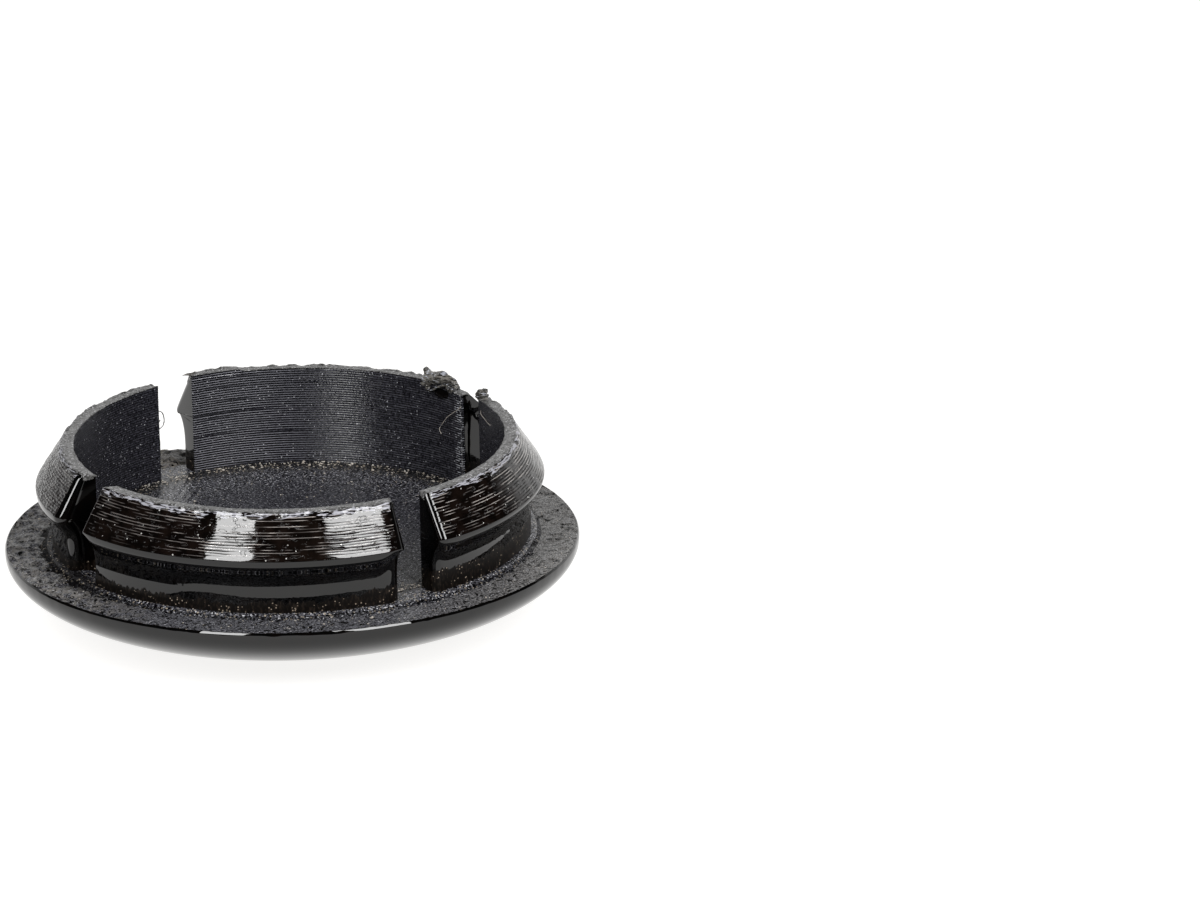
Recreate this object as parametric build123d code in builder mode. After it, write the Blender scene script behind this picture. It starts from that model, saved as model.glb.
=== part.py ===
"""Snap-in plug for a round panel hole: a domed head and a ring of four sprung fingers, in one piece.

Millimetres, +Z up. The plug stands on the crown of its dome, fingers up, with the origin at the crown.
The four slots lie on the X and Y axes. A panel rests on the flange and is caught under the bead.
"""
import os
from math import cos, radians, sin

from build123d import *

# head
flange_radius = 14.0
edge_height = 0.3       # straight edge between the flange face and the dome
dome_rise = 3.5         # crown to the start of the straight edge

# ring of fingers
neck_radius = 11.65     # clears the panel hole
wall = 1.15             # fingers at the neck
step_margin = 0.3       # low step round the foot of the neck, which centres the plug in its hole
step_height = 0.2
catch_depth = 0.75      # how far the bead stands out from the neck
catch_height = 2.69     # bead's lower edge above the flange face; the catch slopes up to it at 45 degrees
crest_land = 0.32       # height of the bead's straight crest
neck_round = 1.5        # hollow curve from the neck into the catch
ring_height = 5.08      # rim above the flange face, at the end of the lead-in taper
rim_width = 0.57
rim_break = 0.12        # worn edge round the outside of the rim
slot_width = 1.8

# damage beside the slot on +X
chip_depth = 0.45       # corner broken off the finger on the slot's +Y side
lip_start = 6.0         # degrees from +X to the near end of the torn lip
lip_sweep = 15.0
lip_size = 0.34         # how far the lip stands out of the rim and over the cup
burr_height = 0.5       # stump left standing on the finger on the slot's -Y side
burr_width = 0.6

flange_top = dome_rise + edge_height
floor = flange_top + step_height
rim_top = flange_top + ring_height
bore_radius = neck_radius - wall
rim_radius = bore_radius + rim_width
rim_middle = bore_radius + rim_width / 2
catch_top = flange_top + catch_height


def on_rim(angle, height):
    """A point over the middle of the rim, at an angle from +X."""
    return (rim_middle * cos(radians(angle)), rim_middle * sin(radians(angle)), height)


def radial_plane(angle):
    """The upright plane through the axis at an angle from +X: local x runs outward, local y up."""
    outward = (cos(radians(angle)), sin(radians(angle)), 0)
    return Plane(origin=(0, 0, 0), x_dir=outward, z_dir=(outward[1], -outward[0], 0))


with BuildPart() as plug:
    # domed head: half an ellipse under a short straight edge, and the flange face on top
    with BuildSketch(Plane.XZ):
        with BuildLine():
            EllipticalCenterArc(
                (0, dome_rise), flange_radius, dome_rise, start_angle=270, arc_size=90
            )
            Polyline(
                (flange_radius, dome_rise),
                (flange_radius, flange_top),
                (0, flange_top),
                (0, 0),
            )
        make_face()
    revolve(axis=Axis.Z)

    # low step that the fingers grow from
    with BuildSketch(Plane.XY.offset(flange_top)):
        Circle(neck_radius + step_margin)
    extrude(amount=step_height)

    # ring section: neck, hollow catch, crest, lead-in taper and rim
    with BuildSketch(Plane.XZ) as section:
        with BuildLine():
            Polyline(
                (bore_radius, floor),
                (neck_radius, floor),
                (neck_radius, catch_top - catch_depth),
                (neck_radius + catch_depth, catch_top),
                (neck_radius + catch_depth, catch_top + crest_land),
                (rim_radius, rim_top - rim_break),
                (rim_radius - rim_break, rim_top),
                (bore_radius, rim_top),
                close=True,
            )
        make_face()
        hollow = section.vertices().sort_by_distance((neck_radius, catch_top - catch_depth))[0]
        fillet(hollow, neck_round)
    revolve(axis=Axis.Z)

    # two crossed slots part the ring into four fingers, down to the floor of the cup
    with BuildSketch(Plane.XY.offset(floor)):
        with PolarLocations(0, 2, angular_range=180):
            Rectangle(3 * flange_radius, slot_width)
    extrude(amount=ring_height, mode=Mode.SUBTRACT)

    # corner broken off one finger's end
    with BuildSketch(Plane.YZ.offset(bore_radius / 2)):
        Polygon(
            (slot_width / 2, rim_top),
            (slot_width / 2, rim_top - chip_depth),
            (slot_width / 2 + chip_depth, rim_top),
            align=None,
        )
    extrude(amount=bore_radius, mode=Mode.SUBTRACT)

    # torn lip folded over the rim beside the chip
    with BuildSketch(radial_plane(lip_start)):
        Polygon(
            (rim_middle, rim_top + lip_size),
            (bore_radius - lip_size / 2, rim_top + lip_size / 2),
            (bore_radius - lip_size, rim_top - lip_size),
            (bore_radius + lip_size / 4, rim_top - 2 * lip_size),
            (rim_radius, rim_top - lip_size / 2),
            align=None,
        )
    revolve(axis=Axis.Z, revolution_arc=lip_sweep)

    # stump of torn plastic on the finger across the slot
    with BuildSketch(Plane(on_rim(-lip_start, rim_top - burr_height / 2))):
        Rectangle(burr_width, burr_width, rotation=-lip_start)
    extrude(amount=1.5 * burr_height, taper=10)

plug.part.label = "plug"
os.makedirs("parts", exist_ok=True)
export_step(plug.part, "parts/plug.step")
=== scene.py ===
"""Looks of the snap-in hole plug: a 3D-printed part under a black coat, standing on its dome."""
from math import cos, pi, radians, sin, sqrt, tan

import bpy
import numpy as np
from mathutils import Matrix, Vector


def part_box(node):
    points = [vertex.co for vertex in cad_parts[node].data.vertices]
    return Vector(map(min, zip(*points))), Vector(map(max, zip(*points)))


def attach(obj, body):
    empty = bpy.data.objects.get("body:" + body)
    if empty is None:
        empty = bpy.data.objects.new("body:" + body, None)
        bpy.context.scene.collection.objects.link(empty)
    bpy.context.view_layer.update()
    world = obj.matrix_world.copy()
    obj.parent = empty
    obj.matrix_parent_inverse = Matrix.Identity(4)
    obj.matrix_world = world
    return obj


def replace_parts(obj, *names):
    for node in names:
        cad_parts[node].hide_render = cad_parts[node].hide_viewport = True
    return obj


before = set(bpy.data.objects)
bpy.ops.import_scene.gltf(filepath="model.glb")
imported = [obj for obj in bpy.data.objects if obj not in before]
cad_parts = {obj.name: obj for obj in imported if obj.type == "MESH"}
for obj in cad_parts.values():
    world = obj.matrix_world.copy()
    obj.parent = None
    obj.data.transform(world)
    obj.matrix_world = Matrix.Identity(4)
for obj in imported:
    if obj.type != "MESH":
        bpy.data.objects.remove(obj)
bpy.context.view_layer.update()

MM = 0.001
low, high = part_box("plug")

# the plug's sizes, in millimetres; heights are from the flange face unless they say otherwise
FLANGE_RADIUS = (high.x - low.x) / 2 / MM
DOME_RISE = 3.5
EDGE_HEIGHT = 0.3
FLANGE_TOP = DOME_RISE + EDGE_HEIGHT     # above the ground
STEP_HEIGHT = 0.2
STEP_RADIUS = 11.95
NECK_RADIUS = 11.65
BORE_RADIUS = 10.5
CREST_RADIUS = 12.40                     # the narrow land between the catch and the taper
CREST_BOTTOM = 2.77
CREST_TOP = 3.07
RING_HEIGHT = 5.08
RIM_RADIUS = 11.07
LAYER = 0.12                             # printed layer
LINE = 0.394                             # spacing of the printed lines on the cup floor

# how the print and its coat stray from the plain form; the bevel is the worn flange edge, as pairs
# of how far in and how far down
SCALLOP_INSIDE = 0.024                   # how far each printed layer bulges
SCALLOP_OUTSIDE = 0.010
STREAK = 0.010
BEVEL = ((0.080, 0.0), (0.068, 0.010), (0.056, 0.025), (0.008, 0.102), (0.002, 0.118))
FILLET = 0.42                            # hollow between neck and catch
TIP = 0.9                                # length of a finger's end over which its catch is rubbed
FINGER_SWEEP = 1.45                      # radians that a finger spans
LEAN = 0.068                             # how fast a leaning neck spreads towards its foot
LEAN_TOP = 1.28                          # the neck spreads below this height
LEAN_REACH = 0.7                         # and no more than this far down
FOOT_TOP = 0.72                          # how far up the neck the coat is dull and brown

CHIP_DEPTH = 0.25                        # broken rim beside the slot on +X
FLAKE_HEIGHT = 0.13                      # rim pulled up beside the slot on +Y
LUMPS_X = 1.30                           # middle of the lumps outside the slot on +Y
LUMPS_Y = 12.6
PALE_SIDE = -33.3                        # degrees from +X; the flange is paler on this side

INSIDE, RIM, COAT, TAPER = range(4)      # a finger's materials

# how finely the pieces are meshed
CORNER_COLUMNS = 9                       # round the corner at a finger's end
FINGER_COLUMNS = 96                      # between the corners
RIM_ROWS = 6                             # across the rim
HEAD_COLUMNS = 720
FACE_ROWS = 38                           # across the flange face
DOME_ROWS = 40
FLOOR_ROWS = 401                         # across the printed lines
FLOOR_COLUMNS = 111                      # along them
SPRIG_STEPS = 14                         # along a short piece of torn plastic

# the camera: degrees, and millimetres from the flange's centre
CAMERA_TURN = -33.3
CAMERA_RISE = 19.08
CAMERA_ROLL = -1.42
CAMERA_DISTANCE = 660.4
CAMERA_SIDEWAYS = 15.0
CAMERA_UP = 4.14
CAMERA_LENS = 406.6


# ---------------------------------------------------------------- noise and mesh helpers

def noise(seed, x, y):
    """Smooth noise from -1 to 1, with one bump for each unit of x and y."""
    table = np.random.default_rng(seed).uniform(-1, 1, (256, 256))
    x, y = np.broadcast_arrays(np.asarray(x, float), np.asarray(y, float))
    column, row = np.floor(x).astype(int), np.floor(y).astype(int)
    u, v = x - column, y - row
    u, v = u * u * (3 - 2 * u), v * v * (3 - 2 * v)
    left, right = column % 256, (column + 1) % 256
    bottom, top = row % 256, (row + 1) % 256
    near = table[left, bottom] * (1 - u) + table[right, bottom] * u
    far = table[left, top] * (1 - u) + table[right, top] * u
    return near * (1 - v) + far * v


def step_up(x, start, end):
    """0 before start, 1 beyond end, smooth between; it falls with x where end is the lower."""
    t = np.clip((x - start) / (end - start), 0, 1)
    return t * t * (3 - 2 * t)


def scallop(z):
    """The bulge of one printed layer after another, from 0 in the grooves to 1 on the crowns."""
    part = 2 * (z / LAYER - np.floor(z / LAYER + 1e-6)) - 1
    return np.sqrt(np.clip(1 - part * part, 0, 1))


def grid_faces(rows, columns, closed=False):
    """Quads over points numbered row by row; closed joins the last column to the first."""
    index = np.arange(rows * columns).reshape(rows, columns)
    if closed:
        index = np.hstack([index, index[:, :1]])
    corners = (index[:-1, :-1], index[:-1, 1:], index[1:, 1:], index[1:, :-1])
    return np.stack(corners, -1).reshape(-1, 4)


def add_piece(name, points, faces, materials, face_material=None):
    """A smooth-shaded mesh piece of the plug, from points in millimetres."""
    mesh = bpy.data.meshes.new(name)
    mesh.from_pydata((np.asarray(points) * MM).tolist(), [], [list(map(int, f)) for f in faces])
    for material in materials:
        mesh.materials.append(material)
    if face_material is not None:
        mesh.polygons.foreach_set("material_index", np.asarray(face_material, np.int32))
    mesh.polygons.foreach_set("use_smooth", np.ones(len(mesh.polygons), bool))
    mesh.update()
    piece = bpy.data.objects.new(name, mesh)
    bpy.context.scene.collection.objects.link(piece)
    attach(piece, "root")
    return piece


# ---------------------------------------------------------------- materials

class Nodes:
    """Short calls for adding nodes to a node tree."""

    def __init__(self, tree):
        self.tree = tree

    def node(self, kind, **settings):
        made = self.tree.nodes.new(kind)
        for key, value in settings.items():
            setattr(made, key, value)
        return made

    def link(self, output, target):
        self.tree.links.new(output, target)

    def remap(self, value, from_low, from_high, to_low=0, to_high=1):
        """A value brought from one range to another and held there; a range may run downwards."""
        made = self.node("ShaderNodeMapRange")
        for socket, number in zip(("From Min", "From Max", "To Min", "To Max"),
                                  (from_low, from_high, to_low, to_high)):
            made.inputs[socket].default_value = number
        self.link(value, made.inputs["Value"])
        return made.outputs["Result"]

    def math(self, operation, *values):
        """A math node on values that are outputs or plain numbers."""
        made = self.node("ShaderNodeMath", operation=operation)
        for value, socket in zip(values, made.inputs):
            if isinstance(value, (int, float)):
                socket.default_value = value
            else:
                self.link(value, socket)
        return made.outputs["Value"]

    def chain(self, operation, one, *others):
        """The same math operation over several values in turn."""
        for other in others:
            one = self.math(operation, one, other)
        return one

    def add(self, *values):
        return self.chain("ADD", *values)

    def multiply(self, *values):
        return self.chain("MULTIPLY", *values)

    def largest(self, *values):
        return self.chain("MAXIMUM", *values)


class Shader(Nodes):
    """A Principled material, with short calls for the patterns that drive it."""

    def __init__(self, name, **values):
        self.material = bpy.data.materials.new(name)
        self.material.use_nodes = True
        super().__init__(self.material.node_tree)
        self.surface = self.tree.nodes["Principled BSDF"]
        self.place = self.node("ShaderNodeTexCoord").outputs["Object"]
        split = self.node("ShaderNodeSeparateXYZ")
        self.link(self.place, split.inputs["Vector"])
        self.x, self.y, z = split.outputs[:]
        self.height = self.math("SUBTRACT", self.math("DIVIDE", z, MM), FLANGE_TOP)
        for socket, value in values.items():
            self.surface.inputs[socket.replace("_", " ")].default_value = value

    def drive(self, socket, output):
        """The surface's socket follows an output."""
        self.link(output, self.surface.inputs[socket])

    def grain(self, size, detail=2.0, stretch=(1, 1, 1)):
        """Noise with bumps of the given size in millimetres."""
        squash = self.node("ShaderNodeMapping")
        squash.inputs["Scale"].default_value = stretch
        self.link(self.place, squash.inputs["Vector"])
        made = self.node("ShaderNodeTexNoise")
        made.inputs["Scale"].default_value = 1 / (size * MM)
        made.inputs["Detail"].default_value = detail
        self.link(squash.outputs["Vector"], made.inputs["Vector"])
        return made.outputs["Fac"]

    def specks(self, spacing, size):
        """1 inside scattered round specks, 0 elsewhere; spacing and size are in millimetres."""
        made = self.node("ShaderNodeTexVoronoi")
        made.inputs["Scale"].default_value = 1 / (spacing * MM)
        self.link(self.place, made.inputs["Vector"])
        edge = size / spacing / 2
        return self.remap(made.outputs["Distance"], edge, edge * 0.7)

    def crown(self):
        """0 in the grooves between the printed layers and 1 on their crowns."""
        layers = self.math("DIVIDE", self.height, LAYER)
        return self.multiply(self.math("PINGPONG", layers, 0.5), 2.0)

    def dashes(self, length, seed):
        """Noise along each printed layer, afresh on the next; length is in millimetres."""
        layer = self.math("FLOOR", self.math("DIVIDE", self.height, LAYER))
        along = self.node("ShaderNodeCombineXYZ")
        self.link(self.math("DIVIDE", self.x, length * MM), along.inputs["X"])
        self.link(self.math("DIVIDE", self.y, length * MM), along.inputs["Y"])
        self.link(self.math("MULTIPLY_ADD", layer, 3.7, seed), along.inputs["Z"])
        made = self.node("ShaderNodeTexNoise")
        made.inputs["Scale"].default_value = 1.0
        made.inputs["Detail"].default_value = 1.0
        self.link(along.outputs["Vector"], made.inputs["Vector"])
        return made.outputs["Fac"]

    def aside(self):
        """Distance in metres from the axis towards the pale side."""
        return self.add(self.multiply(self.x, cos(radians(PALE_SIDE))),
                        self.multiply(self.y, sin(radians(PALE_SIDE))))

    def side(self, coordinate, start, end):
        """0 to 1 as a coordinate in metres goes from start to end, in millimetres."""
        return self.remap(coordinate, start * MM, end * MM)

    def radius(self):
        """Distance from the plug's axis in millimetres."""
        squares = self.add(self.multiply(self.x, self.x), self.multiply(self.y, self.y))
        return self.math("DIVIDE", self.math("SQRT", squares), MM)

    def colour(self, factor, dark, light):
        """A colour between two, by a factor; each is an output or a plain colour."""
        made = self.node("ShaderNodeMix", data_type="RGBA")
        self.link(factor, made.inputs["Factor"])
        for socket, value in (("A", dark), ("B", light)):
            if isinstance(value, tuple):
                made.inputs[socket].default_value = (*value, 1)
            else:
                self.link(value, made.inputs[socket])
        return made.outputs["Result"]

    def over(self, base, factor, top):
        """A colour laid over another, by a factor."""
        return self.colour(factor, base, top)

    def bump(self, height, depth, before=None):
        """Bump of the given depth in millimetres, on top of an earlier bump."""
        made = self.node("ShaderNodeBump")
        made.inputs["Strength"].default_value = 1
        made.inputs["Distance"].default_value = depth * MM
        self.link(height, made.inputs["Height"])
        if before is not None:
            self.link(before, made.inputs["Normal"])
        self.drive("Normal", made.outputs["Normal"])
        return made.outputs["Normal"]

    def printed_grain(self):
        """Bump of a bare printed face: fine grain under a coarser one."""
        fine = self.bump(self.grain(0.09, 1.0), 0.030)
        self.bump(self.grain(0.25), 0.03, fine)


def coat_material():
    """Glossy black coat, nearly a mirror; dull, brown and dusty at the foot of the neck."""
    shader = Shader("coat")
    thin = shader.remap(shader.grain(0.9), 0.45, 0.7)
    base = shader.colour(thin, (0.0008, 0.0008, 0.0008), (0.0020, 0.0012, 0.0009))
    drips = shader.add(shader.remap(shader.grain(0.60, 2.0, (1, 1, 0)), 0.3, 0.7, -0.16, 0.16),
                       shader.remap(shader.grain(0.13, 1.0, (1, 1, 0)), 0.3, 0.7, -0.09, 0.09))
    higher = shader.multiply(shader.side(shader.aside(), 1.5, 6.5), -0.50)
    edge = shader.add(shader.height, drips, higher)
    foot = shader.multiply(shader.remap(edge, FOOT_TOP + 0.02, FOOT_TOP - 0.02),
                           shader.remap(shader.height, -0.02, 0.0))
    streaks = shader.remap(shader.grain(0.10, 2.0, (1, 1, 0.4)), 0.50, 0.70)
    brown = shader.colour(streaks, (0.0025, 0.0017, 0.0012), (0.020, 0.0145, 0.011))
    shade = shader.over(base, foot, brown)
    dust = shader.multiply(shader.specks(0.16, 0.075), foot,
                           shader.remap(shader.grain(0.5), 0.48, 0.54))
    shader.drive("Base Color", shader.over(shade, dust, (0.34, 0.28, 0.22)))
    worn = shader.remap(shader.grain(0.35), 0.35, 0.7, 0.005, 0.02)
    shader.drive("Roughness", shader.largest(worn, shader.multiply(foot, 0.35)))
    # the slanted end face beside the slot on -X is dull
    end_face = shader.multiply(
        shader.side(shader.y, 1.50, 1.44), shader.side(shader.x, -9.5, -10.0),
        shader.side(shader.y, 0.3, 0.6), shader.remap(shader.height, 0.0, 0.1))
    shader.drive("Specular IOR Level", shader.multiply(shader.remap(foot, 0, 1, 0.5, 0.15),
                                                       shader.remap(end_face, 0, 1, 1, 0.06)))
    shader.bump(shader.grain(0.30), 0.0008)
    return shader.material


def taper_material():
    """Lead-in taper: brown-black coat, layers bared in pale dashes that are partly painted
    highlights, painted white glints, frayed and pale at the rim.
    """
    shader = Shader("taper")
    painted = shader.colour(shader.remap(shader.grain(0.7), 0.4, 0.65),
                            (0.0018, 0.0011, 0.0008), (0.0065, 0.0038, 0.0028))
    # the finger on -X +Y and the finger on +X -Y
    left = shader.multiply(shader.side(shader.x, -0.5, -1.5), shader.side(shader.y, 0.3, 0.9))
    right = shader.multiply(shader.side(shader.x, 0.3, 0.9), shader.side(shader.y, -0.5, -1.5))
    upper = shader.remap(shader.height, 3.6, 4.0, 0, 0.9)
    bare = shader.multiply(shader.remap(shader.grain(1.3, 2.0, (1, 1, 1.5)), 0.43, 0.56),
                           shader.remap(shader.aside(), -8 * MM, -4 * MM, 0.25, 1))
    bare = shader.largest(bare, shader.multiply(shader.largest(right, 0.45), upper))
    # pale dashes along the layer crowns: layers bared through the coat, brightened as painted
    # highlights
    line = shader.remap(shader.crown(), 0.66, 0.84)
    dashes = shader.multiply(shader.remap(shader.dashes(1.3, 0.0), 0.47, 0.58), line, bare)
    low = shader.remap(shader.height, 3.1, 3.7, 0.2, 1)
    painted = shader.over(painted, shader.multiply(dashes, low), (0.34, 0.31, 0.29))
    # painted highlights: small white glints on the coat
    painted_glint_dots = shader.multiply(shader.specks(0.34, 0.08), shader.remap(shader.grain(0.9), 0.44, 0.50))
    painted = shader.over(painted, painted_glint_dots, (0.62, 0.61, 0.58))
    wander = shader.remap(shader.grain(0.40, 3.0, (0.35, 0.35, 2.4)), 0.3, 0.7, -0.20, 0.20)
    top = shader.remap(shader.add(shader.height, wander),
                       RING_HEIGHT - 0.20, RING_HEIGHT - 0.18)
    cuts = shader.remap(shader.grain(0.13, 3.0, (0.25, 0.25, 2.4)), 0.51, 0.49)
    frayed = shader.multiply(top, cuts)
    shader.drive("Base Color", shader.over(painted, frayed, (0.40, 0.40, 0.44)))
    worn = shader.remap(shader.grain(0.35), 0.35, 0.7, 0.01, 0.05)
    shader.drive("Roughness", shader.largest(worn, shader.multiply(frayed, 0.28),
                                             shader.multiply(left, 0.14)))
    # the grooves between the layers stay dull where they are bared
    groove = shader.multiply(shader.remap(shader.crown(), 0.55, 0.25), shader.largest(left, right),
                             shader.remap(shader.grain(0.8, 2.0), 0.38, 0.50))
    stains = shader.multiply(left, shader.remap(shader.grain(0.22, 3.0, (1, 1, 1.2)), 0.55, 0.59))
    dull = shader.largest(groove, stains)
    shader.drive("Specular IOR Level", shader.remap(dull, 0, 1, 0.5, 0.04))
    blots = shader.remap(shader.grain(0.26, 2.0, (0.6, 0.6, 1.5)), 0.61, 0.64)
    scores = shader.multiply(shader.remap(shader.grain(0.26, 3.0, (1, 1, 1.6)), 0.35, 0.65, 0, 6),
                             left)
    dents = shader.bump(shader.add(blots, scores), 0.012)
    shader.bump(shader.grain(0.30), 0.0008, dents)
    return shader.material


def inside_material():
    """Bare satin print inside the cup: charcoal layers, painted shade in the grooves, painted
    highlights on the crowns and fine painted glints.
    """
    shader = Shader("inside")
    mottle = shader.remap(shader.grain(0.11, 3.0), 0.36, 0.64)
    shade = shader.colour(mottle, (0.003, 0.003, 0.005), (0.046, 0.046, 0.057))
    # painted shade in the grooves between the layers
    groove = shader.remap(shader.crown(), 0.50, 0.25, 0, 0.9)
    shade = shader.over(shade, groove, (0.004, 0.004, 0.005))
    crown = shader.remap(shader.crown(), 0.60, 0.85)
    # painted highlights: pale lines along the layer crowns on one finger only, most of all beside
    # the slot on +Y
    back = shader.multiply(shader.side(shader.x, -0.3, 0.3), shader.side(shader.y, -0.3, 0.3))
    lines = shader.multiply(shader.remap(shader.dashes(0.7, 9.0), 0.46, 0.60, 0, 0.8), crown, back)
    shade = shader.over(shade, lines, (0.080, 0.080, 0.092))
    sharp = shader.remap(shader.crown(), 0.60, 0.88)
    # painted shade: dark troughs between the layers in a band beside the slot on +Y
    lit = shader.multiply(back, shader.side(shader.x, 8.0, 4.0))
    painted_trough_shade = shader.multiply(shader.remap(shader.crown(), 0.72, 0.45, 0, 0.95), lit)
    shade = shader.over(shade, painted_trough_shade, (0.004, 0.004, 0.005))
    shader.drive("Specular IOR Level", shader.remap(painted_trough_shade, 0, 0.95, 0.5, 0.03))
    # painted highlights: pale dashes on the sharp crowns in the same band
    bright = shader.multiply(shader.remap(shader.dashes(5.0, 13.0), 0.30, 0.42), sharp, lit)
    shade = shader.over(shade, bright, (0.210, 0.210, 0.235))
    # painted highlights: pale ticks on the layers' ends beside the slot on +X, where they catch the
    # light
    ends = shader.multiply(shader.side(shader.x, 9.5, 10), shader.side(shader.y, 0.55, 0.62),
                           shader.side(shader.y, 1.30, 1.15), crown,
                           shader.remap(shader.dashes(0.30, 17.0), 0.46, 0.54))
    shade = shader.over(shade, ends, (0.500, 0.510, 0.550))
    # painted glints: pale specks
    painted_sparkle = shader.multiply(shader.specks(0.20, 0.07),
                              shader.remap(shader.grain(0.7), 0.44, 0.54, 0.1, 1))
    shader.drive("Base Color", shader.over(shade, painted_sparkle, (0.34, 0.34, 0.36)))
    shader.drive("Roughness", shader.remap(shader.grain(0.15), 0.3, 0.7, 0.10, 0.28))
    shader.bump(shader.grain(0.10, 1.0), 0.012)
    return shader.material


def print_material():
    """Rough printed flange face: grey grain, pits painted black as shade, painted glints, paler to
    one side, brown by the lumps, painted shade on the crumpled side.
    """
    shader = Shader("print", Specular_IOR_Level=0.12)
    aside = shader.aside()
    pale = shader.remap(aside, 5 * MM, 13 * MM)
    grain = shader.remap(shader.grain(0.10, 3.0), 0.36, 0.64)
    dark = shader.colour(grain, (0.010, 0.010, 0.012), (0.142, 0.142, 0.158))
    light = shader.colour(grain, (0.020, 0.019, 0.019), (0.245, 0.236, 0.226))
    shade = shader.over(dark, pale, light)
    lumps = shader.node("ShaderNodeVectorMath", operation="DISTANCE")
    shader.link(shader.place, lumps.inputs[0])
    lumps.inputs[1].default_value = (LUMPS_X * MM, LUMPS_Y * MM, FLANGE_TOP * MM)
    by_lumps = shader.multiply(shader.remap(lumps.outputs["Value"], 2.6 * MM, 1.6 * MM),
                               shader.remap(shader.grain(0.12, 3.0), 0.42, 0.52, 0.2, 0.9))
    shade = shader.over(shade, by_lumps, (0.215, 0.195, 0.170))
    brown = shader.multiply(shader.remap(aside, -6 * MM, -10 * MM),
                            shader.remap(shader.grain(0.35, 3.0), 0.42, 0.55, 0, 0.70))
    shade = shader.over(shade, brown, (0.185, 0.174, 0.160))
    # painted shade in the creases of the crumpled side, and a painted shadow band along the neck
    # there
    away = shader.side(aside, -7, -10)
    fold = shader.math("ABSOLUTE", shader.math("SUBTRACT", shader.grain(0.55, 3.0), 0.5))
    crease = shader.multiply(shader.remap(fold, 0.030, 0.010, 0, 0.9), away)
    shadow_along_neck = shader.multiply(shader.remap(shader.radius(), 12.9, 11.9, 0, 0.70), away)
    shade = shader.over(shade, shader.largest(crease, shadow_along_neck), (0.007, 0.006, 0.006))
    # painted glints: fine white grains
    painted_glints = shader.remap(shader.grain(0.085, 1.0), 0.66, 0.70)
    shade = shader.over(shade, painted_glints, (0.33, 0.33, 0.35))
    # painted shade: black in the pits
    pits = shader.remap(shader.grain(0.24, 3.0), 0.415, 0.395)
    shader.drive("Base Color", shader.over(shade, pits, (0.003, 0.003, 0.003)))
    shader.drive("Roughness", shader.remap(shader.grain(0.16), 0.3, 0.7, 0.10, 0.32))
    shader.printed_grain()
    return shader.material


def floor_material():
    """Printed cup floor: smooth blue-grey in the middle, grainy with painted glints outwards, dark
    along the wall from pooled coat and painted shade, dusty there.
    """
    shader = Shader("cup_floor", Specular_IOR_Level=0.25)
    radius = shader.radius()
    outwards = shader.remap(radius, 6.0, 8.5, 0.45, 1)
    grain = shader.remap(shader.grain(0.12, 3.0), 0.45, 0.60)
    grainy = shader.colour(grain, (0.001, 0.001, 0.002), (0.096, 0.096, 0.110))
    shade = shader.colour(outwards, (0.026, 0.026, 0.032), grainy)
    # painted glints on the grainy outer floor
    painted_glints = shader.multiply(shader.remap(shader.grain(0.10, 1.0), 0.63, 0.67), outwards)
    shade = shader.over(shade, painted_glints, (0.52, 0.52, 0.55))
    # darker along the foot of the wall: coat pooled there, with painted shade
    wall_foot_pool_and_shade = shader.multiply(shader.remap(radius, 8.9, 10.0, 0, 0.92),
                                shader.remap(radius, 10.62, 10.58))
    shade = shader.over(shade, wall_foot_pool_and_shade, (0.006, 0.006, 0.006))
    # painted shade behind the neck on the crumpled side
    behind = shader.multiply(shader.remap(radius, 11.3, 11.5, 0, 0.8),
                             shader.side(shader.aside(), -7, -10))
    shader.drive("Specular IOR Level", shader.remap(behind, 0, 0.8, 0.25, 0.02))
    shade = shader.over(shade, behind, (0.007, 0.006, 0.006))
    crumbs = shader.multiply(shader.specks(0.20, 0.13), shader.remap(radius, 9.0, 9.9),
                             shader.remap(shader.grain(0.6), 0.42, 0.5))
    shader.drive("Base Color", shader.over(shade, crumbs, (0.30, 0.26, 0.21)))
    shader.drive("Roughness", shader.remap(shader.grain(0.16), 0.3, 0.7, 0.12, 0.34))
    shader.printed_grain()
    return shader.material


def rim_material():
    """Scuffed rim of the fingers and torn plastic: grey with pale fragments, partly painted glints,
    and dark creases.
    """
    shader = Shader("rim")
    shade = shader.colour(shader.remap(shader.grain(0.16, 3.0), 0.38, 0.62),
                          (0.020, 0.019, 0.018), (0.120, 0.118, 0.116))
    # pale fragments on the rim, partly painted glints
    pale_chips_and_glints = shader.remap(shader.grain(0.12, 2.0), 0.60, 0.64)
    shader.drive("Base Color", shader.over(shade, pale_chips_and_glints, (0.42, 0.42, 0.43)))
    shader.drive("Roughness", shader.remap(shader.grain(0.2), 0.3, 0.7, 0.18, 0.45))
    shader.bump(shader.grain(0.10, 2.0), 0.025)
    return shader.material


def torn_material():
    """Torn and melted plastic: brown-grey, half glossy, streaked along its creases, with painted
    glints.
    """
    shader = Shader("torn")
    streaks = shader.remap(shader.grain(0.12, 3.0, (0.4, 0.4, 2.0)), 0.42, 0.58)
    shade = shader.colour(streaks, (0.014, 0.013, 0.011), (0.170, 0.160, 0.145))
    # painted glints along the creases
    painted_glints = shader.remap(shader.grain(0.12, 2.0, (0.25, 0.25, 1.6)), 0.60, 0.64)
    shader.drive("Base Color", shader.over(shade, painted_glints, (0.34, 0.35, 0.39)))
    shader.drive("Roughness", shader.remap(shader.grain(0.3), 0.3, 0.7, 0.08, 0.26))
    shader.bump(shader.grain(0.16, 2.0, (0.6, 0.6, 1.4)), 0.020)
    return shader.material


def dust_material():
    """Pale dust and fibres."""
    shader = Shader("dust", Roughness=0.8)
    shader.drive("Base Color", shader.colour(shader.grain(0.3),
                                             (0.22, 0.17, 0.13), (0.66, 0.63, 0.58)))
    return shader.material


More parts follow.
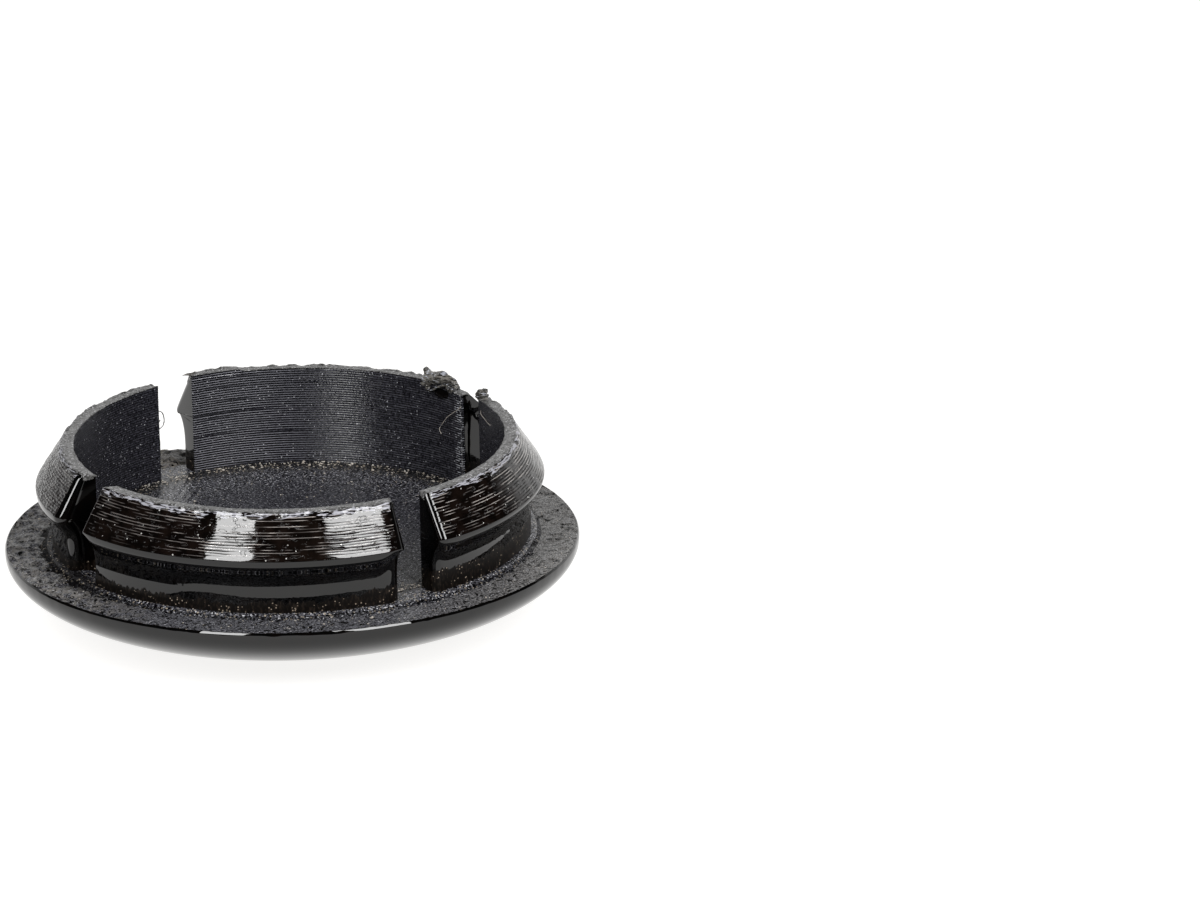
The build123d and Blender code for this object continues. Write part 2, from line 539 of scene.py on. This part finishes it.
# ---------------------------------------------------------------- fingers

def soft_min(one, other, width):
    """The smaller of two radii, with the corner where they cross rounded over the given width."""
    return (one + other - np.hypot(one - other, width)) / 2


def outer_radius(z, lift=0.0, fillet=FILLET):
    """Outer profile of a finger: neck, hollow catch, crest and taper; lift raises the catch."""
    slope = (CREST_RADIUS - RIM_RADIUS) / (RING_HEIGHT - CREST_TOP)
    taper = CREST_RADIUS - (z - CREST_TOP) * slope
    catch = CREST_RADIUS - (CREST_BOTTOM + lift - z)
    neck = -soft_min(-catch, -NECK_RADIUS, fillet)
    return soft_min(soft_min(taper, CREST_RADIUS + 0.01, 0.03), neck, 0.10)


def finger_profile():
    """A finger's section, up the inside, over the rim and down the outside.

    Gives for each point its radius, height, outward normal and place across, from 0 inside to 1
    outside, and last how many points go up each side.
    """
    layers = np.arange(-1, RING_HEIGHT // LAYER + 1)[:, None] + (0, 0.08, 0.25, 0.5, 0.75, 0.92)
    z = layers.ravel() * LAYER
    z = np.append(z[(z > -0.07) & (z < RING_HEIGHT - 0.005)], RING_HEIGHT)
    z = np.union1d(z, CREST_TOP + np.linspace(-0.04, 0.04, 7))
    outer = outer_radius(z)
    across = np.linspace(0, 1, RIM_ROWS + 2)[1:-1]
    radius = np.concatenate([np.full_like(z, BORE_RADIUS),
                             BORE_RADIUS + across * (outer[-1] - BORE_RADIUS), outer[::-1]])
    height = np.concatenate([z, np.full_like(across, RING_HEIGHT), z[::-1]])
    lean = np.gradient(outer, z)[::-1]
    normal_out = np.stack([np.ones_like(lean), -lean], 1) / np.hypot(1, lean)[:, None]
    normal = np.vstack([np.tile((-1.0, 0.0), (len(z), 1)), np.tile((0.0, 1.0), (len(across), 1)),
                        normal_out])
    side = np.concatenate([np.zeros(len(z)), across, np.ones(len(z))])
    return radius[:, None], height[:, None], normal, side[:, None], len(z)


def finger_columns():
    """Columns of points along a finger, with a rounded corner at either end.

    Gives for each one how far along it is, from 0 to 1, and how far it goes into the corner's
    rounding along the finger and in from its face.
    """
    turn = np.linspace(0, pi / 2, CORNER_COLUMNS)
    middle = np.linspace(0, 1, FINGER_COLUMNS + 2)[1:-1]
    share = np.concatenate([np.zeros(CORNER_COLUMNS), middle, np.ones(CORNER_COLUMNS)])
    into = np.concatenate([1 - np.cos(turn), np.ones_like(middle), 1 - np.cos(turn[::-1])])
    inset = np.concatenate([1 - np.sin(turn), np.zeros_like(middle), 1 - np.sin(turn[::-1])])
    return share, into, inset


def bared_layers(seed, arc, z, inset, layered):
    """Where the layers show on the taper, from 0 to 1, and how far they stand out there.

    They are bare in patches below a smooth rim, or all the way up to the rim where layered is set.
    """
    on_taper = step_up(z, CREST_TOP, CREST_TOP + 0.3) * step_up(inset, 0.2, 0.0)
    belt = np.exp(-((z - 3.85) / 0.55) ** 2) + 0.5 * np.exp(-((z - 3.05) / 0.3) ** 2)
    patchy = step_up(0.8 * noise(seed, arc / 1.9, z / 0.8) + belt, 0.15, 0.95)
    if layered:
        upper = step_up(z + 0.3 * noise(seed + 4, arc / 1.5, z / 0.6), 3.4, 3.8)
        patchy = np.maximum(patchy, upper)
    else:
        patchy = patchy * step_up(z + 0.15 * noise(seed + 4, arc / 0.6, z / 0.3), 4.75, 4.35)
    streaks = noise(seed + 1, arc / 1.1, z / LAYER) + 0.5 * noise(seed + 2, arc / 0.35, z / LAYER)
    return on_taper * (0.05 + 0.95 * patchy), SCALLOP_OUTSIDE * scallop(z) + STREAK * streaks


def finger_faces(rows, columns, levels, middle_row, streaky):
    """Faces of a finger's skin, its foot and both ends, with each one's material number."""
    faces = [tuple(f) for f in grid_faces(rows, columns)]
    kind = np.select([middle_row < 0.001, streaky, middle_row > 0.999], [INSIDE, TAPER, COAT], RIM)
    kind = kind.ravel().tolist()
    last = (rows - 1) * columns
    faces += [(c, last + c, last + c + 1, c + 1)[::-1] for c in range(columns - 1)]
    kind += [COAT] * (columns - 1)
    for column, flip in ((0, 1), (columns - 1, -1)):
        caps = [(k * columns + column, (k + 1) * columns + column,
                 (rows - 2 - k) * columns + column, (rows - 1 - k) * columns + column)
                for k in range(levels - 1)]
        caps.append(tuple(k * columns + column for k in range(levels - 1, rows - levels + 1)))
        faces += [cap[::flip] for cap in caps]
        kind += [COAT] * len(caps)
    return faces, kind


def finger(name, quarter, seed, ends, materials, fillets=(FILLET, FILLET, FILLET), raised=0.0,
           leaning=False, layered=False, chipped=False, flaked=False):
    """One finger in the given quarter turn: a closed mesh with printed layers, coat and ragged rim.

    ends gives for the start and the end of the finger how far it stands from the middle of its
    slot inside and outside, the rounding of its inner corner and of its outer corner at the rim and
    below the crest, and how far the catch is rubbed away there. fillets are the hollow under the
    catch at the start, the middle and the end; raised is how far the catch climbs from start to end.
    """
    radius, height, normal, side, levels = finger_profile()
    share, into, inset = finger_columns()
    down = np.clip((RING_HEIGHT - height) / (RING_HEIGHT - CREST_TOP), 0, 1)
    gaps, rounds = [], []
    for gap_inside, gap_outside, within, at_rim, below, _ in ends:
        gaps.append(gap_inside + (gap_outside - gap_inside) * side)
        rounds.append(within + (at_rim + (below - at_rim) * down - within) * side)

    # the section along the finger, with its rounded ends and worn catch
    first = share < 0.5
    rounding = np.where(first, rounds[0], rounds[1])
    rubbed = np.where(first, ends[0][5], ends[1][5])
    tip = np.clip(1 - np.minimum(share, 1 - share) * NECK_RADIUS * FINGER_SWEEP / TIP, 0, 1) ** 2
    fillet = np.interp(share, (0, 0.5, 1), fillets)
    worn = outer_radius(height, rubbed * tip + raised * share, fillet) - outer_radius(height)
    r = radius - normal[:, :1] * rounding * inset + worn * (side > 0.99)
    z = height - normal[:, 1:] * rounding * inset
    start = np.arcsin((gaps[0] + rounds[0] * into) / r)
    end = pi / 2 - np.arcsin((gaps[1] + rounds[1] * into) / r)
    angle = start + share * (end - start)
    arc = angle * NECK_RADIUS
    outside = (side > 0.99) * np.ones_like(arc)
    inside = (side < 0.01) * np.ones_like(arc)

    # coat outside: smooth on the neck, catch and ends
    amount, layers = bared_layers(seed, arc, z, inset, layered)
    lift = outside * amount * layers
    lift += outside * 0.010 * noise(seed + 3, arc / 2.5, z / 1.2)
    if leaning:
        below = np.clip(LEAN_TOP - z, 0, LEAN_REACH)
        lift += outside * LEAN * below * (1 + below / 2) * step_up(share, 0.45, 0.10)
    # layers inside, fading at the ends
    rows = SCALLOP_INSIDE * scallop(z) * (1 + 0.15 * noise(seed + 5, arc / 0.9, z / LAYER))
    rows = rows + 0.004 * noise(seed + 6, arc / 0.2, z / LAYER)
    lift += inside * step_up(inset, 1.0, 0.6) * rows
    # ragged rim
    near_rim = step_up(z, RING_HEIGHT - 0.30, RING_HEIGHT - 0.05)
    torn = noise(seed + 7, arc / 0.22, side * 4) + noise(seed + 8, arc / 0.6, side * 3)
    r = r + normal[:, :1] * lift + near_rim * (0.020 + 0.030 * side) * torn
    z = z + normal[:, 1:] * lift
    z = z + near_rim * (0.008 + 0.035 * step_up(side, 0.5, 1)) * (
        noise(seed + 9, arc / 0.18, side * 5) + noise(seed + 10, arc / 0.5, side * 3) - 0.3)
    if chipped:
        z = z - CHIP_DEPTH * step_up(-arc, -2.4, -1.1) * step_up(z, RING_HEIGHT - 1.2, RING_HEIGHT)
    if flaked:
        z = z + FLAKE_HEIGHT * near_rim * step_up(arc, 14.1, 14.5)

    angle = angle + quarter * pi / 2
    points = np.stack([r * np.cos(angle), r * np.sin(angle), z + FLANGE_TOP], -1)
    middle_row = ((side[:-1] + side[1:]) / 2 * np.ones(len(share) - 1))
    streaky = (middle_row > 0.999) & (z[:-1, :-1] > CREST_TOP) & (inset[:-1] + inset[1:] < 0.02)
    faces, kind = finger_faces(*angle.shape, levels, middle_row, streaky)
    return add_piece(name, points.reshape(-1, 3), faces, materials, kind)


# ---------------------------------------------------------------- head and cup floor

def head(materials):
    """Domed head with its rough back face, closed under the cup floor."""
    back, drop = np.array(BEVEL).T
    face_r = np.linspace(11.2, FLANGE_RADIUS - back[0], FACE_ROWS)
    around = np.linspace(0, pi / 2, DOME_ROWS)
    r = np.concatenate([face_r, FLANGE_RADIUS - back[1:], FLANGE_RADIUS * np.cos(around)])
    z = np.concatenate([np.zeros_like(face_r), -drop[1:],
                        -EDGE_HEIGHT - DOME_RISE * np.sin(around)])
    r[-1] = 0.02
    angle = np.linspace(0, 2 * pi, HEAD_COLUMNS, endpoint=False)[None, :]
    r, z = r[:, None] * np.ones_like(angle), z[:, None] * np.ones_like(angle)
    x, y = r * np.cos(angle), r * np.sin(angle)
    on_face = (np.arange(len(r)) < len(face_r))[:, None]
    grain = noise(21, x / 0.16, y / 0.16) + 0.8 * noise(22, x / 0.34, y / 0.34)
    pits = step_up(noise(23, x / 0.30, y / 0.30), 0.40, 0.70)
    z = z + on_face * (0.016 * grain - 0.05 * pits)
    # crumpled away from the pale side
    crumpled = step_up(-x * cos(radians(PALE_SIDE)) - y * sin(radians(PALE_SIDE)), 7.0, 10.5)
    folds = 0.085 * noise(26, x / 0.50, y / 0.50) + 0.050 * noise(27, x / 0.24, y / 0.24) - 0.05
    z = z + on_face * crumpled * folds
    # lumps of plastic outside the slot on +Y
    beside = np.exp(-((x - LUMPS_X) / 1.7) ** 4) * step_up(y, 11.3, LUMPS_Y)
    lumps = 0.30 + 0.10 * noise(24, x / 0.45, y / 0.45) + 0.05 * noise(28, x / 0.18, y / 0.18)
    z = z + on_face * beside * lumps
    # the coat is uneven along the flange edge
    at_edge = np.exp(-((r - FLANGE_RADIUS) / 0.12) ** 2) * (z > -0.35)
    r = r - at_edge * (0.010 + 0.010 * noise(25, angle * FLANGE_RADIUS / 0.45, z / 0.15))
    points = np.stack([r * np.cos(angle), r * np.sin(angle), z + FLANGE_TOP], -1).reshape(-1, 3)
    points[:, 2] = np.maximum(points[:, 2], 0)
    rows = len(r)
    faces = [tuple(f)[::-1] for f in grid_faces(rows, HEAD_COLUMNS, closed=True)]
    kind = [0] * ((FACE_ROWS - 1) * HEAD_COLUMNS) + [1] * ((rows - FACE_ROWS) * HEAD_COLUMNS)
    faces += [tuple(range(HEAD_COLUMNS)),
              tuple(range((rows - 1) * HEAD_COLUMNS, rows * HEAD_COLUMNS))[::-1]]
    kind += [0, 1]
    return add_piece("head", points, faces, materials, kind)


def cup_floor(materials):
    """Printed floor of the cup and the low step round it, with lines at 45 degrees to the slots."""
    across = np.linspace(-1, 1, FLOOR_ROWS)[:, None] * (STEP_RADIUS - 0.01)
    along = (np.sin(np.linspace(-pi / 2, pi / 2, FLOOR_COLUMNS))[None, :]
             * np.sqrt(STEP_RADIUS ** 2 - across ** 2))
    across = across * np.ones_like(along)
    part = across / LINE - np.floor(across / LINE)
    wobble = noise(31, across / LINE, along / 1.3)
    ridge = 4 * part * (1 - part) * (0.022 + 0.010 * wobble)
    pair = 0.006 * np.cos(across * pi / LINE)
    rough = (0.007 * noise(32, across / 0.09, along / 0.22)
             + 0.006 * noise(33, across / 0.4, along / 0.4))
    drop = 0.08 * step_up(np.hypot(across, along), STEP_RADIUS - 0.10, STEP_RADIUS)
    z = STEP_HEIGHT - 0.02 + ridge + pair + rough - drop
    top = np.stack([(along + across) / sqrt(2), (along - across) / sqrt(2), z + FLANGE_TOP], -1)
    under = top * (1.05, 1.05, 1)
    under[..., 2] = FLANGE_TOP - 0.25
    rows, columns = across.shape
    faces = [tuple(f) for f in grid_faces(rows, columns)]
    rim = ([(0, c) for c in range(columns)] + [(r, columns - 1) for r in range(1, rows)]
           + [(rows - 1, c) for c in range(columns - 2, -1, -1)]
           + [(r, 0) for r in range(rows - 2, 0, -1)])
    edge = [r * columns + c for r, c in rim]
    points = np.vstack([top.reshape(-1, 3), under.reshape(-1, 3)[edge]])
    first = rows * columns
    count = len(edge)
    faces += [(edge[k], edge[(k + 1) % count], first + (k + 1) % count, first + k)
              for k in range(count)]
    faces.append(tuple(range(first, first + count)))
    return add_piece("cup_floor", points, faces, materials)


# ---------------------------------------------------------------- damage, strings and dust

def tube_mesh(path, radii, seed, rough, squash, sides, crease):
    """Points and faces of a closed lumpy tube along a path, squashed across and up."""
    path = np.asarray(path, float)
    ahead = np.gradient(path, axis=0)
    ahead /= np.linalg.norm(ahead, axis=1)[:, None]
    across = np.cross(ahead, (0.3, 0.2, 1.0))
    across /= np.linalg.norm(across, axis=1)[:, None]
    up = np.cross(across, ahead)
    around = np.linspace(0, 2 * pi, sides, endpoint=False)[None, :, None]
    step = np.linalg.norm(np.diff(path, axis=0, prepend=path[:1]), axis=1)
    along = np.cumsum(step)[:, None, None] / crease
    lumps = noise(seed, along, around * 1.6) + 0.6 * noise(seed + 1, along * 2.3, around * 3.5)
    radii = np.asarray(radii, float)[:, None, None] * (1 + rough * lumps)
    rings = path[:, None] + radii * (squash[0] * np.cos(around) * across[:, None]
                                     + squash[1] * np.sin(around) * up[:, None])
    faces = [tuple(f) for f in grid_faces(len(path), sides, closed=True)]
    faces += [tuple(range(sides))[::-1], tuple(range((len(path) - 1) * sides, len(path) * sides))]
    return rings.reshape(-1, 3), faces


def tube(name, path, radii, seed, rough, materials, squash=(1, 1), sides=10, crease=0.25):
    """A piece made of one closed lumpy tube, for torn plastic and strings."""
    return add_piece(name, *tube_mesh(path, radii, seed, rough, squash, sides, crease), materials)


def sprigs(name, bundles, seed, rough, materials):
    """A piece made of several short tubes, each given by its places and the radii at its ends."""
    points, faces = [], []
    for number, (places, thick, thin) in enumerate(bundles):
        path, radii = wall_path(places, SPRIG_STEPS), np.linspace(thick, thin, SPRIG_STEPS)
        more, shape = tube_mesh(path, radii, seed + number, rough, (1, 1), 8, 0.15)
        first = sum(map(len, points))
        points.append(more)
        faces += [tuple(first + corner for corner in face) for face in shape]
    return add_piece(name, np.vstack(points), faces, materials)


def on_wall(radius, degrees, height):
    """A point at a radius and angle, at a height above the flange face."""
    turn = radians(degrees)
    return (radius * cos(turn), radius * sin(turn), height + FLANGE_TOP)


def wall_path(places, count):
    """A smooth curve through places on the wall, resampled evenly in its parameter."""
    points = np.array([on_wall(*place) for place in places])
    ends = np.vstack([2 * points[0] - points[1], points, 2 * points[-1] - points[-2]])
    path = []
    for t in np.linspace(0, len(points) - 1 - 1e-6, count):
        k, u = int(t), t - int(t)
        a, b, c, d = ends[k:k + 4]
        path.append(b + 0.5 * u * (
            c - a + u * (2 * a - 5 * b + 4 * c - d + u * (3 * (b - c) + d - a))))
    return np.array(path)


def torn_plastic(torn, smooth):
    """Torn lip with a peak and teeth by the slot on +X, a curled stump across it, a rim flake, and a
    dark smear under the lip that is partly a stand-in for its shadow.

    Places are a radius, an angle in degrees and a height above the flange face.
    """
    turns = (6.8, 8.5, 10.5, 12.5, 14.5, 16.5, 18.0, 19.2, 20.0)
    heights = (5.02, 5.24, 5.28, 5.26, 5.14, 4.99, 4.98, 5.00, 5.02)
    sizes = (0.12, 0.17, 0.22, 0.31, 0.37, 0.38, 0.36, 0.28, 0.10)
    turn = np.linspace(turns[0], turns[-1], 80)
    height = np.interp(turn, turns, heights) + 0.03 * noise(41, turn / 0.9, 0.5)
    path = np.array([on_wall(10.76, a, h) for a, h in zip(turn, height)])
    tube("torn_lip", path, np.interp(turn, turns, sizes), 43, 0.24, torn, (1.05, 1), 28, 0.60)
    peak = wall_path([(10.85, 18.0, 5.08), (10.85, 18.5, 5.36), (10.78, 18.9, 5.61)], SPRIG_STEPS)
    tube("torn_peak", peak, np.linspace(0.34, 0.09, SPRIG_STEPS), 44, 0.30, torn)

    # a smooth dark patch of coat on the wall under the lip, partly standing in for the lip's shadow
    smear_and_shadow = np.array([on_wall(BORE_RADIUS - 0.02, a, 4.70) for a in np.linspace(9.2, 15.0, 24)])
    swell = np.sqrt(np.sin(pi * np.linspace(0.04, 0.96, 24)))
    tube("wall_smear", smear_and_shadow, 0.34 * swell, 47, 0.25, smooth, (0.20, 1), 16, 0.5)
    teeth = [([(10.42, turn, top), (10.36, turn + 0.3, (top + bottom) / 2),
               (10.38, turn + 0.2, bottom)], 0.07, 0.025)
             for turn, top, bottom in ((8.9, 5.20, 4.98), (8.2, 5.15, 4.84), (7.5, 5.12, 4.80),
                                       (6.9, 5.05, 4.90), (15.9, 4.85, 4.55), (16.6, 4.85, 4.62),
                                       (13.2, 4.98, 4.80))]
    teeth.append(([(10.42, 16.4, 4.60), (10.36, 14.4, 4.72), (10.33, 12.1, 4.98),
                   (10.36, 8.9, 5.16)], 0.045, 0.06))
    sprigs("lip_teeth", teeth, 60, 0.5, torn)

    stump = [([(10.85, -5.2, 4.75), (10.8, -4.8, 5.15), (10.8, -5.0, 5.46)], 0.24, 0.19),
             ([(10.8, -4.2, 5.38), (10.8, -5.2, 5.46), (10.8, -6.2, 5.58)], 0.16, 0.08),
             ([(10.75, -4.0, 5.40), (10.7, -3.0, 5.34), (10.65, -2.5, 5.14), (10.7, -3.2, 4.94)],
              0.13, 0.08)]
    sprigs("torn_stump", stump, 70, 0.38, torn)
    flake = [([(10.80, 82.5, 5.14), (10.92, 84.6, 5.17), (10.98, 86.0, 5.15)], 0.10, 0.02)]
    sprigs("rim_flake", flake, 80, 0.3, torn)


def strings(pale, dark):
    """Fine hairs on the cup wall and at a finger end, and dark threads in the slots on +X and +Y.

    Places are a radius, an angle in degrees and a height above the flange face.
    """
    hairs = {
        "wall_hair": [(10.44, 3.6, 4.28), (10.32, 6.2, 3.9), (10.30, 8.9, 3.54), (10.34, 11.6, 3.0),
                      (10.34, 12.3, 2.75), (10.44, 12.2, 2.5)],
        "slot_hair": [(10.6, -5.4, 4.75), (10.45, -6.2, 4.45), (10.4, -8.5, 4.35),
                      (10.42, -10.5, 4.22), (10.46, -12.3, 4.15)],
    }
    for seed, (name, places) in enumerate(hairs.items()):
        tube(name, wall_path(places, 40), np.full(40, 0.015), 50 + seed, 0.3, pale)
    curl = [(10.9, 95.2, 3.7), (10.8, 93.4, 3.6), (10.8, 92.6, 3.25), (10.8, 92.9, 2.9),
            (10.8, 94.2, 2.75), (10.8, 95.2, 2.85), (10.8, 93.8, 3.2)]
    tube("end_curl", wall_path(curl, 50), np.full(50, 0.022), 52, 0.3, dark)
    threads = [
        ([(11.0, 5.0, 4.5), (10.9, 2.2, 4.1), (10.8, -1.0, 4.3), (10.8, -4.6, 4.7)], 0.11, 0.12),
        ([(11.1, 4.4, 4.1), (11.0, 1.0, 3.7), (11.0, -1.5, 3.9), (10.8, -4.6, 4.3)], 0.08, 0.09),
        ([(11.2, 2.0, 3.8), (11.3, 0.6, 2.8), (11.3, 0.3, 1.6), (11.4, 0.4, 0.2)], 0.09, 0.05),
        ([(11.0, -2.6, 3.9), (11.1, -3.0, 2.8), (11.1, -2.6, 1.6), (11.2, -2.4, 0.2)], 0.09, 0.06),
        ([(11.2, 93.6, 3.9), (11.3, 94.4, 2.6), (11.5, 93.2, 1.4), (11.8, 92.0, 0.2)], 0.035, 0.02),
        ([(11.4, 95.0, 3.0), (11.3, 92.6, 2.2), (11.6, 91.6, 0.2)], 0.03, 0.02),
    ]
    sprigs("slot_threads", threads, 90, 0.35, dark)


def dust(materials):
    """Small flakes of dust: most at the foot of the cup wall, some on the floor and the flange."""
    by_wall, on_floor, on_flange = 800, 500, 400
    rng = np.random.default_rng(7)
    angle = rng.uniform(0, 2 * pi, by_wall + on_floor + on_flange)
    radius = np.concatenate([BORE_RADIUS - 0.06 - rng.exponential(0.32, by_wall).clip(0, 1.8),
                             BORE_RADIUS * np.sqrt(rng.uniform(0.2, 0.97, on_floor)),
                             rng.uniform(STEP_RADIUS + 0.1, FLANGE_RADIUS - 0.25, on_flange)])
    height = np.concatenate([np.full(by_wall + on_floor, STEP_HEIGHT), np.zeros(on_flange)])
    height = height + FLANGE_TOP + 0.015
    size = np.concatenate([rng.lognormal(np.log(0.042), 0.42, by_wall),
                           rng.lognormal(np.log(0.026), 0.42, on_floor + on_flange)])
    size = size.clip(0.012, 0.11)
    centre = np.stack([radius * np.cos(angle), radius * np.sin(angle), height + size * 0.3], -1)
    corners = np.array([(1, 0, 0), (0, 1, 0), (-1, 0, 0), (0, -1, 0), (0, 0, 0.6), (0, 0, -0.6)])
    spin = rng.uniform(0, pi, len(angle))[:, None]
    stretch = rng.uniform(0.5, 1.9, (len(angle), 1))
    flat = np.stack([corners[:, 0] * stretch, corners[:, 1] / stretch], -1)
    x = flat[..., 0] * np.cos(spin) - flat[..., 1] * np.sin(spin)
    y = flat[..., 0] * np.sin(spin) + flat[..., 1] * np.cos(spin)
    local = np.stack([x, y, np.broadcast_to(corners[:, 2], x.shape)], -1) * size[:, None, None]
    points = (centre[:, None] + local).reshape(-1, 3)
    shape = np.array([(0, 1, 4), (1, 2, 4), (2, 3, 4), (3, 0, 4),
                      (1, 0, 5), (2, 1, 5), (3, 2, 5), (0, 3, 5)])
    faces = (np.arange(len(angle))[:, None, None] * len(corners) + shape).reshape(-1, 3)
    return add_piece("dust", points, faces, materials)


# ---------------------------------------------------------------- stage

def studio_world():
    """White surroundings, with a dark room above and behind the camera for the gloss to show."""
    world = bpy.data.worlds.new("studio")
    bpy.context.scene.world = world
    world.use_nodes = True
    nodes = Nodes(world.node_tree)
    turn = radians(CAMERA_TURN - 90)
    facing = nodes.node("ShaderNodeVectorMath", operation="DOT_PRODUCT")
    facing.inputs[1].default_value = Vector((cos(turn), sin(turn), 0.55)).normalized()
    nodes.link(nodes.node("ShaderNodeTexCoord").outputs["Generated"], facing.inputs[0])
    room = nodes.remap(facing.outputs["Value"], -0.50, -0.22, 1.0, 0.02)
    by_ray = nodes.node("ShaderNodeMix")
    nodes.link(nodes.node("ShaderNodeLightPath").outputs["Is Camera Ray"], by_ray.inputs["Factor"])
    nodes.link(room, by_ray.inputs["A"])
    by_ray.inputs["B"].default_value = 1.0
    background = world.node_tree.nodes["Background"]
    background.inputs["Color"].default_value = (1, 1, 1, 1)
    nodes.link(by_ray.outputs["Result"], background.inputs["Strength"])


def pale_floor():
    """Plain white floor that shows white and keeps a soft shadow."""
    half = 1.5
    mesh = bpy.data.meshes.new("floor")
    corners = [(-half, -half, 0), (half, -half, 0), (half, half, 0), (-half, half, 0)]
    mesh.from_pydata(corners, [], [(0, 1, 2, 3)])
    floor = bpy.data.objects.new("floor", mesh)
    bpy.context.scene.collection.objects.link(floor)
    paper = Shader("paper", Base_Color=(0.35, 0.35, 0.35, 1), Roughness=1.0, Specular_IOR_Level=0.0,
                   Emission_Color=(1, 0.99, 0.975, 1))
    # the glow is for the camera and for reflections, and lights nothing
    rays = paper.node("ShaderNodeLightPath").outputs
    seen = paper.add(rays["Is Camera Ray"], rays["Is Glossy Ray"], rays["Is Transmission Ray"])
    paper.drive("Emission Strength", paper.multiply(seen, 0.88))
    mesh.materials.append(paper.material)


def softbox(name, azimuth, elevation, width, height, brightness):
    """A rectangular lamp aimed at the plug; degrees, with azimuth from the camera's side."""
    distance = 0.45
    turn = radians(CAMERA_TURN - 90 + azimuth)
    rise = radians(elevation)
    toward = Vector((cos(turn) * cos(rise), sin(turn) * cos(rise), sin(rise)))
    lamp = bpy.data.lights.new(name, "AREA")
    lamp.shape = "RECTANGLE"
    lamp.size = 2 * distance * tan(radians(width / 2))
    lamp.size_y = 2 * distance * tan(radians(height / 2))
    lamp.energy = brightness * pi * lamp.size * lamp.size_y
    holder = bpy.data.objects.new(name, lamp)
    holder.location = toward * distance
    holder.rotation_euler = toward.to_track_quat("Z", "Y").to_euler()
    bpy.context.scene.collection.objects.link(holder)


def place_camera():
    """Long lens at the photographed angle, slightly rolled, with the plug left of centre."""
    lens = bpy.data.cameras.new("camera")
    lens.lens = CAMERA_LENS
    lens.sensor_width = 36
    lens.clip_start = 0.01
    lens.clip_end = 20
    camera = bpy.data.objects.new("camera", lens)
    turn = (Matrix.Rotation(radians(CAMERA_TURN), 4, "Z")
            @ Matrix.Rotation(radians(90 - CAMERA_RISE), 4, "X")
            @ Matrix.Rotation(radians(CAMERA_ROLL), 4, "Z"))
    middle = Vector((0, 0, FLANGE_TOP * MM))
    back = Vector((CAMERA_SIDEWAYS, CAMERA_UP, CAMERA_DISTANCE)) * MM
    camera.matrix_world = Matrix.Translation(middle) @ turn @ Matrix.Translation(back)
    bpy.context.scene.collection.objects.link(camera)
    bpy.context.scene.camera = camera


coat, taper, inside, rim = coat_material(), taper_material(), inside_material(), rim_material()
face, ground, flakes, torn = print_material(), floor_material(), dust_material(), torn_material()
skins = [inside, rim, coat, taper]

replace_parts(head([face, coat]), "plug")
cup_floor([ground])
# each end: gap inside and outside, rounding inside, at the rim and below the crest, catch wear
finger("finger_back", 0, 100,
       ((0.78, 0.76, 0.15, 0.10, 0.15, 0.10), (1.00, 1.00, 0.08, 0.45, 0.45, 0.40)),
       skins, chipped=True, flaked=True)
finger("finger_left", 1, 120,
       ((0.95, 0.95, 0.08, 0.20, 0.35, 0.30), (0.80, 1.52, 0.08, 0.40, 0.62, 0.05)),
       skins, layered=True)
finger("finger_front", 2, 140,
       ((0.92, 0.66, 0.08, 0.10, 0.15, 0.30), (0.95, 1.00, 0.08, 0.40, 0.85, 0.30)),
       skins, fillets=(0.50, 0.44, 0.38), leaning=True)
finger("finger_right", 3, 160,
       ((0.70, 0.70, 0.08, 0.42, 0.45, 0.10), (0.80, 0.80, 0.08, 0.20, 0.20, 0.20)),
       skins, fillets=(0.36, 0.08, 0.02), raised=0.30, layered=True)
torn_plastic([torn], [coat])
strings([flakes], [coat])
dust([flakes])

studio_world()
pale_floor()
softbox("softbox_left", -31, 37.5, 16, 27, 14.5)
softbox("softbox_right", 37, 37.5, 22, 27, 14.5)
place_camera()
bpy.context.scene.view_settings.view_transform = "Standard"
